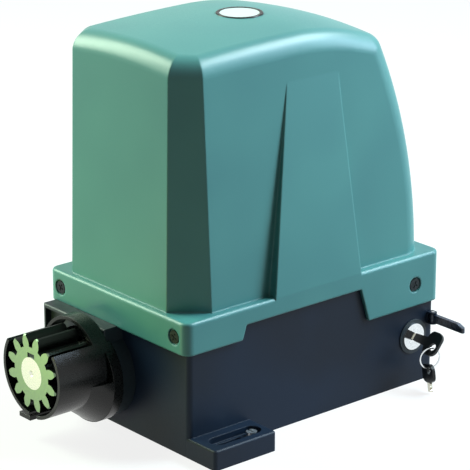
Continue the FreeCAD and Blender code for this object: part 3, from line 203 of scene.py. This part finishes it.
guard_nylon = moulded("nylon_black_moulded", ("070A09", "0D1110"), 0.24, 1.2)
housing_abs = moulded("abs_anthracite_moulded", ("1B262B", "212D33"), 0.40, 1.0)
bow_abs = moulded("abs_black_key_bow", ("0A0C0D", "131617"), 0.30, 0.8)
rubber = moulded("nbr_rubber_black", ("101112", "191B1C"), 0.62, 0.6)
terminal_pa = moulded("polyamide_green_terminal", ("1C6B3F", "24784A"), 0.42, 1.0)
can_white = moulded("capacitor_can_white", ("D6D8D6", "E2E4E2"), 0.35, 2.0)
lacing_cord = moulded("waxed_polyester_lacing", ("B8AE93", "CFC6AC"), 0.6, 0.7)

# %% [markdown]
# The badge on the crown is a glossy acrylic button, left blank. Cast acrylic is smooth and
# slightly cloudy, which gives it depth.

# %% White acrylic
acrylic = finished("acrylic_white_gloss", ("BFCBC6", "CBD6D1"), (12.0, 1.0, WHOLE),
                   Roughness=0.12, IOR=1.49)

# %% [markdown]
# Metals differ by how they were finished: turned steel shows fine marks, zinc plate a soft
# haze, and chrome is nearly a mirror. All are fully metallic and keep the default index;
# only colour, roughness and the scratches change. Laminations and wire are stretched
# patterns, because both are stacks of thin layers.

# %% Metals


def metal(name, chips, smooth, rough, cell_mm, stretch=(1, 1, 1), depth_mm=0.02):
    """A metal whose scratches may be stretched along one axis."""
    return finished(name, chips, (cell_mm, 3.0, MOST), (cell_mm, 3.0, smooth, rough),
                    (cell_mm, 3.0, depth_mm, 0.2, 0.0), stretch, Metallic=1.0)


shaft_steel = metal("turned_steel_bright", ("D6D9C6", "F0F2E2"), 0.22, 0.36, 0.8)
zinc_steel = metal("zinc_plated_steel", ("B9BEC0", "D0D4D5"), 0.28, 0.42, 1.0)
black_screw = metal("blackened_steel", ("23282A", "343A3C"), 0.34, 0.50, 0.8)
chrome = metal("chrome_plate", ("D9DCDD", "EBEDEE"), 0.06, 0.12, 2.0, depth_mm=0.004)
key_nickel = metal("nickel_plated_brass", ("B9B7A6", "D2D0C0"), 0.18, 0.30, 0.8)
bronze = metal("tin_bronze_machined", ("B0823E", "C89A55"), 0.25, 0.40, 1.0)
aluminium = metal("aluminium_as_cast", ("A9ADAF", "C2C5C6"), 0.42, 0.60, 1.5, depth_mm=0.06)
laminations = metal("silicon_steel_stack", ("6A6E72", "85898C"), 0.35, 0.50, 0.7, (1, 1, 30))
copper = metal("enamelled_copper_wire", ("A6542A", "C8713D"), 0.25, 0.40, 0.9, (1, 1, 6))

# %% [markdown]
# A pinion is hobbed from a bar. Its colour is painted in two tones: the teeth get a dark
# chip as painted shade, standing for the shade inside the guard, and the end faces, which
# look along the shaft, get a light green-grey chip as painted light. The surface's own
# direction tells them apart. The shaft is the Y axis, so that holds however far the pinion
# turns.

# %% Steel with painted shade on the teeth and painted light on the ends


def ends_lit_teeth_shaded_mask(tree):
    """1 on faces that look along the shaft, which get painted light; 0 on the teeth, which get
    painted shade.
    """
    surface = put(tree, "ShaderNodeNewGeometry")
    axes = put(tree, "ShaderNodeSeparateXYZ", Vector=surface.outputs["True Normal"])
    along = put(tree, "ShaderNodeMath", {"operation": "ABSOLUTE"}, i0=axes.outputs["Y"])
    return put(tree, "ShaderNodeMapRange", Value=along.outputs["Value"],
               From_Min=0.60, From_Max=0.75).outputs["Result"]


# The dark chip is painted shade on the teeth, and the light chip is painted light on the end
# faces.
pinion_steel_painted_shade = finished("steel_painted_shade_teeth_lit_ends", ("2A302C", "82997A"), ends_lit_teeth_shaded_mask,
                        (1.5, 3.0, 0.34, 0.50), (1.5, 3.0, 0.03, 0.25, 0.0), Metallic=1.0)

# %% [markdown]
# The release lever is a zinc casting with a dark stoved lacquer. Lacquer flows out flatter
# than powder, so it is smoother and glossier than the base. The control board is
# glass-epoxy laminate under a glossy green solder mask, through which the copper tracks
# show as a lighter green: a pattern with a sharp step between its two colours.

# %% Lacquer and solder mask
lacquer = finished("stoved_lacquer_navy", ("1F2A38", "29364A"), (3.0, 2.0, CORE),
                   (3.0, 2.0, 0.24, 0.34), (3.0, 2.0, 0.03, 0.3, 0.0))
solder_mask = finished("fr4_solder_mask_green", ("0E4A2A", "176238"), (3.0, 4.0, (0.48, 0.52)),
                       Roughness=0.25)

# %% [markdown]
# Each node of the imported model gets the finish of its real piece. The meshes stay as they
# are: only the material slot changes. The last line tells if a node was forgotten.

# %% Give every node its finish
FINISHES = {
    cover_asa: ["cover"],
    powder_coat: ["base_housing", "lever_bracket"],
    guard_nylon: ["pinion_guard", "badge_ring"],
    housing_abs: ["limit_switch_housing", "lock_bezel", "board_bracket"],
    bow_abs: ["key_bow", "spare_key_bow", "cooling_fan", "relays"],
    rubber: ["cover_seal", "output_seal", "cable_grommet"],
    acrylic: ["badge_disc"],
    pinion_steel_painted_shade: ["drive_pinion"],
    shaft_steel: ["output_shaft", "worm_shaft", "clutch_sleeve", "release_rod"],
    zinc_steel: ["levelling_screws", "lid_screws", "capacitor_clip", "lock_nut",
                 "lock_cam", "lever_pin", "bearing_outer_rings", "output_inner_rings",
                 "rotor_inner_rings"],
    black_screw: ["cover_screws", "guard_screws", "pinion_key"],
    chrome: ["lock_barrel", "lock_plug", "key_ring"],
    key_nickel: ["key_blade", "spare_key_blade"],
    bronze: ["worm_wheel"],
    aluminium: ["gearbox_lid", "lower_endbell", "upper_endbell", "shift_fork"],
    laminations: ["rotor_core", "stator_core", "transformer"],
    copper: ["stator_windings"],
    lacquer: ["release_lever"],
    solder_mask: ["control_board"],
    terminal_pa: ["terminal_blocks"],
    can_white: ["run_capacitor"],
}
for finish, names in FINISHES.items():
    for name in names:
        piece = nodes[name]
        piece.data.materials.clear()
        piece.data.materials.append(finish)
left_over = sorted(set(nodes) - {name for names in FINISHES.values() for name in names})
print("nodes without a finish:", left_over)

# %% [markdown]
# What repeats or follows a path is grown by Geometry Nodes: a small tree with named sizes,
# run once, and then kept as a plain mesh. Mesh code could make the same shapes, but a tree
# shows the rule behind them, and its sizes can be changed by name.

# %% Open a growing tree, and shape a flat section
SECTION_STEPS = 3


def geometry_tree(name, sizes):
    """A Geometry Nodes tree with one named input for each size, and those inputs."""
    tree = bpy.data.node_groups.new(name, "GeometryNodeTree")
    for side in ("INPUT", "OUTPUT"):
        tree.interface.new_socket("Geometry", in_out=side, socket_type="NodeSocketGeometry")
    for label, value in sizes.items():
        kind = "NodeSocketInt" if isinstance(value, int) else "NodeSocketFloat"
        tree.interface.new_socket(label, in_out="INPUT", socket_type=kind)
    print("tree:", name, "inputs:", list(sizes))
    return tree, put(tree, "NodeGroupInput").outputs


def flat_section(tree, width, height, corner):
    """A rectangle with rounded corners, as a closed curve."""
    sheet = put(tree, "GeometryNodeCurvePrimitiveQuadrilateral", Width=width, Height=height)
    return put(tree, "GeometryNodeFilletCurve", {"mode": "POLY"}, Curve=sheet.outputs["Curve"],
               Count=SECTION_STEPS, Radius=corner).outputs["Curve"]


# %% [markdown]
# A tree ends the same way each time: shade smooth, realize the instances and set the
# material. Its sizes are set by the sockets' identifiers before it runs, and then the
# modifier is taken off again, so that only a mesh is left.

# %% Run a tree and keep its mesh


def grown(tree, geometry, finish, sizes, name):
    """End the tree, run it with these sizes and return its result as a plain piece."""
    smooth = put(tree, "GeometryNodeSetShadeSmooth", Geometry=geometry)
    whole = put(tree, "GeometryNodeRealizeInstances", Geometry=smooth.outputs["Geometry"])
    dressed = put(tree, "GeometryNodeSetMaterial", Geometry=whole.outputs["Geometry"],
                  Material=finish)
    put(tree, "NodeGroupOutput", Geometry=dressed.outputs["Geometry"])
    piece = bpy.data.objects.new(name, bpy.data.meshes.new(name))
    bpy.context.scene.collection.objects.link(piece)
    growth = piece.modifiers.new(name, "NODES")
    growth.node_group = tree
    for item in tree.interface.items_tree:
        if item.name in sizes:
            growth[item.identifier] = sizes[item.name]
    graph = bpy.context.evaluated_depsgraph_get()
    mesh = bpy.data.meshes.new_from_object(piece.evaluated_get(graph), depsgraph=graph)
    piece.modifiers.remove(growth)
    piece.data = mesh
    print(name, "size in mm:", [round(1000 * d, 2) for d in piece.dimensions],
          "faces:", len(mesh.polygons))
    return piece


# %% [markdown]
# The key ring is a split ring: flat spring wire wound almost twice round, so that a key can
# be worked in between the turns. A spiral with hardly any rise, swept with a flat section,
# is just that. It is then turned and moved to the plain ring that it stands for. That
# ring's farthest point gives the size, and the plane of its points gives the direction.

# %% Find the plain ring's place


def plane_of(node):
    """Centre, outer radius and normal of a round node, from its points."""
    points = [vertex.co.copy() for vertex in nodes[node].data.vertices]
    middle = (Vector(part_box(node)[0]) + Vector(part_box(node)[1])) / 2
    first = max(points, key=lambda p: (p - middle).length) - middle
    second = max((p - middle for p in points), key=lambda p: first.cross(p).length)
    return middle, first.length, first.cross(second).normalized()


middle, reach, normal = plane_of("key_ring")
print("ring radius in mm:", round(1000 * reach, 2))

# %% Split key ring
RING_WIRE = 0.98 * MM
RING_FLAT = 0.34 * MM
sizes = {"Radius": reach - RING_WIRE / 2, "Turns": 1.85, "Rise": RING_WIRE - RING_FLAT,
         "Width": RING_WIRE, "Thickness": RING_FLAT, "Corner": 0.1 * MM}
tree, given = geometry_tree("split_ring_wire", sizes)
path = put(tree, "GeometryNodeCurveSpiral", Resolution=72, Rotations=given["Turns"],
           Start_Radius=given["Radius"], End_Radius=given["Radius"], Height=given["Rise"])
path = put(tree, "GeometryNodeSetCurveNormal", {"mode": "Z_UP"}, Curve=path.outputs["Curve"])
wire = put(tree, "GeometryNodeCurveToMesh", Curve=path.outputs["Curve"], Fill_Caps=True,
           Profile_Curve=flat_section(tree, given["Width"], given["Thickness"],
                                      given["Corner"]))
split_ring = grown(tree, wire.outputs["Mesh"], chrome, sizes, "split_key_ring")
split_ring.data.transform(Matrix.Translation((0, 0, -sizes["Rise"] / 2)))
turn = normal.to_track_quat("Z", "Y").to_matrix().to_4x4()
split_ring.data.transform(Matrix.Translation(middle) @ turn)
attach(split_ring, "ring")
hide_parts("key_ring")

# %% [markdown]
# A black trim ring holds the badge. It is moulded with rounded edges, so a circle swept
# with a rounded flat section gives it. The tree takes the ring's radius and height from the
# plain ring's box, and its width is given.

# %% Badge trim ring
TRIM_WIDTH = 2.7 * MM
trim_low, trim_high = [Vector(corner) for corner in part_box("badge_ring")]
trim_outer = (trim_high.x - trim_low.x) / 2
sizes = {"Radius": trim_outer - TRIM_WIDTH / 2, "Width": TRIM_WIDTH,
         "Height": trim_high.z - trim_low.z, "Corner": 0.6 * MM}
tree, given = geometry_tree("moulded_trim_ring", sizes)
path = put(tree, "GeometryNodeCurvePrimitiveCircle", Resolution=96, Radius=given["Radius"])
path = put(tree, "GeometryNodeSetCurveNormal", {"mode": "Z_UP"}, Curve=path.outputs["Curve"])
trim = put(tree, "GeometryNodeCurveToMesh", Curve=path.outputs["Curve"],
           Profile_Curve=flat_section(tree, given["Width"], given["Height"], given["Corner"]))
badge_trim = grown(tree, trim.outputs["Mesh"], guard_nylon, sizes, "badge_trim_ring")
badge_trim.data.transform(Matrix.Translation((trim_low + trim_high) / 2))
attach(badge_trim, "chassis")
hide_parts("badge_ring")

# %% [markdown]
# A random-wound stator shows its end windings as two fat rings of enamelled wire. Each
# strand is a circle. The tree walks round the ring's section, drops a point every strand's
# pitch, and sets a circle there as wide and as high as that point says. The wires are twice
# as thick as real ones, so that they can be told apart.

# %% Copper strands
WIRE_PITCH = 1.6 * MM
WIRE_RADIUS = 0.75 * MM
WIRE_SIDES = 6


def strands(name, outer, inner, bottom, top):
    """Copper strands over the surface of one end winding, centred on the rotor's axis."""
    sizes = {"Wide": outer - inner - 2 * WIRE_RADIUS, "High": top - bottom - 2 * WIRE_RADIUS,
             "Middle Radius": (outer + inner) / 2, "Corner": 3.4 * MM, "Pitch": WIRE_PITCH,
             "Wire Radius": WIRE_RADIUS}
    tree, given = geometry_tree(name, sizes)
    section = flat_section(tree, given["Wide"], given["High"], given["Corner"])
    spots = put(tree, "GeometryNodeCurveToPoints", {"mode": "LENGTH"}, Curve=section,
                Length=given["Pitch"])
    here = put(tree, "GeometryNodeInputPosition")
    spot = put(tree, "ShaderNodeSeparateXYZ", Vector=here.outputs["Position"])
    width = put(tree, "ShaderNodeMath", i0=spot.outputs["X"], i1=given["Middle Radius"])
    kept = put(tree, "GeometryNodeCaptureAttribute", Geometry=spots.outputs["Points"])
    kept.capture_items.new("FLOAT", "Width")
    tree.links.new(width.outputs["Value"], kept.inputs["Width"])
    height = put(tree, "ShaderNodeCombineXYZ", Z=spot.outputs["Y"])
    raised = put(tree, "GeometryNodeSetPosition", Geometry=kept.outputs["Geometry"],
                 Position=height.outputs["Vector"])
    hoop = put(tree, "GeometryNodeCurvePrimitiveCircle", Resolution=56, Radius=1.0)
    scale = put(tree, "ShaderNodeCombineXYZ", X=kept.outputs["Width"],
                Y=kept.outputs["Width"], Z=1.0)
    hoops = put(tree, "GeometryNodeInstanceOnPoints", Points=raised.outputs["Geometry"],
                Instance=hoop.outputs["Curve"], Scale=scale.outputs["Vector"])
    loose = put(tree, "GeometryNodeRealizeInstances", Geometry=hoops.outputs["Instances"])
    wire = put(tree, "GeometryNodeCurvePrimitiveCircle", Resolution=WIRE_SIDES,
               Radius=given["Wire Radius"])
    swept = put(tree, "GeometryNodeCurveToMesh", Curve=loose.outputs["Geometry"],
                Profile_Curve=wire.outputs["Curve"])
    return grown(tree, swept.outputs["Mesh"], copper, sizes, name)


# %% [markdown]
# Waxed cord laces the strands together. One loop follows the ring's section, stood upright,
# and the tree sets copies of it round a circle, each turned to face along it.

# %% Lacing cord
LACES = 24
LACE_RADIUS = 0.55 * MM
LACE_INSET = 0.5 * MM


def laces(name, outer, inner, bottom, top):
    """Cord loops round one end winding."""
    sizes = {"Wide": outer - inner - LACE_INSET, "High": top - bottom - LACE_INSET,
             "Corner": 4.0 * MM, "Middle Radius": (outer + inner) / 2, "Loops": LACES,
             "Cord Radius": LACE_RADIUS}
    tree, given = geometry_tree(name, sizes)
    cord_round = put(tree, "GeometryNodeCurvePrimitiveCircle", Resolution=WIRE_SIDES,
                     Radius=given["Cord Radius"])
    loop = put(tree, "GeometryNodeCurveToMesh", Profile_Curve=cord_round.outputs["Curve"],
               Curve=flat_section(tree, given["Wide"], given["High"], given["Corner"]))
    upright = put(tree, "GeometryNodeTransform", Geometry=loop.outputs["Mesh"],
                  Rotation=(math.pi / 2, 0.0, 0.0))
    around = put(tree, "GeometryNodeCurvePrimitiveCircle", Resolution=given["Loops"],
                 Radius=given["Middle Radius"])
    spots = put(tree, "GeometryNodeCurveToPoints", {"mode": "EVALUATED"},
                Curve=around.outputs["Curve"])
    facing = put(tree, "FunctionNodeAlignRotationToVector", {"axis": "Y"},
                 Vector=spots.outputs["Tangent"])
    loops = put(tree, "GeometryNodeInstanceOnPoints", Points=spots.outputs["Points"],
                Instance=upright.outputs["Geometry"], Rotation=facing.outputs["Rotation"])
    return grown(tree, loops.outputs["Instances"], lacing_cord, sizes, name)


# %% [markdown]
# The windings stand out below and above the stator's stack. The boxes of the stack, the
# rotor and the plain windings give their radii and heights.

# %% Wind and lace both ends
ROTOR_CLEARANCE = 2.0 * MM
rotor_low, rotor_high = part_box("rotor_core")
stator_low, stator_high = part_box("stator_core")
coil_low, coil_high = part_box("stator_windings")
axis_x, axis_y = (coil_low[0] + coil_high[0]) / 2, (coil_low[1] + coil_high[1]) / 2
coil_outer = (coil_high[0] - coil_low[0]) / 2
coil_inner = (rotor_high[0] - rotor_low[0]) / 2 + ROTOR_CLEARANCE
for level, (bottom, top) in {"lower": (coil_low[2], stator_low[2]),
                             "upper": (stator_high[2], coil_high[2])}.items():
    for make in (strands, laces):
        wound = make(f"{level}_winding_{make.__name__}", coil_outer, coil_inner, bottom, top)
        wound.data.transform(Matrix.Translation((axis_x, axis_y, (bottom + top) / 2)))
        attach(wound, "chassis")
        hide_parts("stator_windings")
print("winding radii in mm:", round(1000 * coil_inner, 1), round(1000 * coil_outer, 1))

# %% [markdown]
# A product stands on a seamless pale sweep: one sheet of paper that curves up into the back
# wall, so that no horizon line shows. It is scenery, not part of the object.

# %% Paper sweep
AZIMUTH = math.radians(49.56)
ELEVATION = math.radians(18.97)
BEND_STEPS = 12


def sweep_sheet(name, half_width, front, back, height, bend):
    """Floor that curves up into a back wall."""
    line = [(-front, 0.0)]
    for step in range(BEND_STEPS + 1):
        angle = math.pi / 2 * step / BEND_STEPS
        line.append((back - bend + bend * math.sin(angle), bend - bend * math.cos(angle)))
    line.append((back, height))
    mesh = bpy.data.meshes.new(name)
    points = [(side * half_width, y, z) for y, z in line for side in (-1, 1)]
    faces = [(2 * i, 2 * i + 1, 2 * i + 3, 2 * i + 2) for i in range(len(line) - 1)]
    mesh.from_pydata(points, [], faces)
    mesh.polygons.foreach_set("use_smooth", [True] * len(faces))
    sheet = bpy.data.objects.new(name, mesh)
    bpy.context.scene.collection.objects.link(sheet)
    return sheet


floor = sweep_sheet("floor_sweep", half_width=6.0, front=4.0, back=5.0, height=6.0, bend=2.0)
floor.data.transform(Matrix.Rotation(AZIMUTH, 4, "Z"))
print("sweep faces:", len(floor.data.polygons))

# %% [markdown]
# The paper has to look white without flooding the object with light. So it glows only for
# the camera and in reflections, and lights nothing by itself. Its own grey still takes the
# lamps' light, which is what keeps the object's shadow on it.

# %% Paper that glows only to the eye
PAPER_GLOW = 0.84


def seen_glow(tree, lit, seen):
    """The strength `seen` for camera, mirror and glass rays, and `lit` for all others."""
    ray = put(tree, "ShaderNodeLightPath")
    share = put(tree, "ShaderNodeMath", {"operation": "MAXIMUM"},
                i0=ray.outputs["Is Camera Ray"], i1=ray.outputs["Is Glossy Ray"])
    share = put(tree, "ShaderNodeMath", {"operation": "MAXIMUM"},
                i0=share.outputs["Value"], i1=ray.outputs["Is Transmission Ray"])
    return put(tree, "ShaderNodeMapRange", Value=share.outputs["Value"],
               To_Min=lit, To_Max=seen).outputs["Result"]


paper, tree, shader = new_finish("paper_white_sweep", Base_Color=paint_chip("6E706F"),
                                 Roughness=0.9, Specular_IOR_Level=0.0,
                                 Emission_Color=(1, 1, 1, 1))
tree.links.new(seen_glow(tree, 0.0, PAPER_GLOW), shader.inputs["Emission Strength"])
floor.data.materials.append(paper)

# %% [markdown]
# Soft lamps light it as in a small studio. Two tall ones graze the front and the lock side
# from left and rear right, edge-on to the corner facet between them, which stays dark. One
# above the rear draws the bright line along the crown's edges. A small, weak, warm one
# stands low in front of the pinion and lifts the guard and the foot of the base.

# %% Lamps
LAMPS = {   # name: azimuth, elevation, distance, width and height, watts, colour
    "lamp_left_front": (-60, 30, 1.5, (0.6, 1.2), 41, "EAFFE4"),
    "lamp_right_rear": (146, 26, 1.5, (0.6, 1.2), 32, "CCE8FF"),
    "lamp_top_rear": (158, 50, 1.3, (0.7, 0.4), 19, "E6FAFF"),
    "lamp_low_front": (-16, -16, 0.40, (0.10, 0.05), 0.26, "DDF26A"),
}
low, high = [Vector(corner) for corner in cad_box]
centre = (low + high) / 2


def bearing(azimuth, elevation):
    """The way towards something seen at these angles, counted from the front in radians."""
    return Vector((math.sin(azimuth) * math.cos(elevation),
                   -math.cos(azimuth) * math.cos(elevation), math.sin(elevation)))


for name, (azimuth, elevation, distance, size, watts, colour) in LAMPS.items():
    lamp = bpy.data.lights.new(name, "AREA")
    lamp.shape = "RECTANGLE"
    lamp.size, lamp.size_y = size
    lamp.energy = watts
    lamp.color = paint_chip(colour)[:3]
    holder = bpy.data.objects.new(name, lamp)
    way = bearing(math.radians(azimuth), math.radians(elevation))
    holder.location = centre + way * distance
    holder.rotation_euler = (-way).to_track_quat("-Z", "Y").to_euler()
    holder.visible_camera = False
    bpy.context.scene.collection.objects.link(holder)
print("lamps:", len(LAMPS), "watts in all:", sum(lamp[4] for lamp in LAMPS.values()))

# %% [markdown]
# The air gives a little light from all round, so that shadows aren't quite black. As with
# the paper, what the camera sees of it is white.

# %% World
AIR_LIGHT = 0.045
world = bpy.data.worlds.new("studio_air")
bpy.context.scene.world = world
world.use_nodes = True
background = world.node_tree.nodes["Background"]
background.inputs["Color"].default_value = (1, 1, 1, 1)
world.node_tree.links.new(seen_glow(world.node_tree, AIR_LIGHT, 1.0),
                          background.inputs["Strength"])
print("air light:", AIR_LIGHT)

# %% [markdown]
# The camera looks down a little at the near front corner. It stands 1.8 m away with a long
# lens, so that upright edges stay nearly parallel.

# %% Camera
TARGET = Vector((0.00293, -0.01468, 0.12478))
DISTANCE = 1.8167
lens = bpy.data.cameras.new("camera_corner")
lens.sensor_width = 36.0
lens.lens = 188.3443
lens.clip_start = 0.05
look = bearing(AZIMUTH, ELEVATION)
camera = bpy.data.objects.new("camera_corner", lens)
camera.location = TARGET + look * DISTANCE
camera.rotation_euler = look.to_track_quat("Z", "Y").to_euler()
bpy.context.scene.collection.objects.link(camera)
bpy.context.scene.camera = camera
bpy.context.scene.view_settings.view_transform = "Standard"
print("lens:", round(lens.lens, 1), "mm")
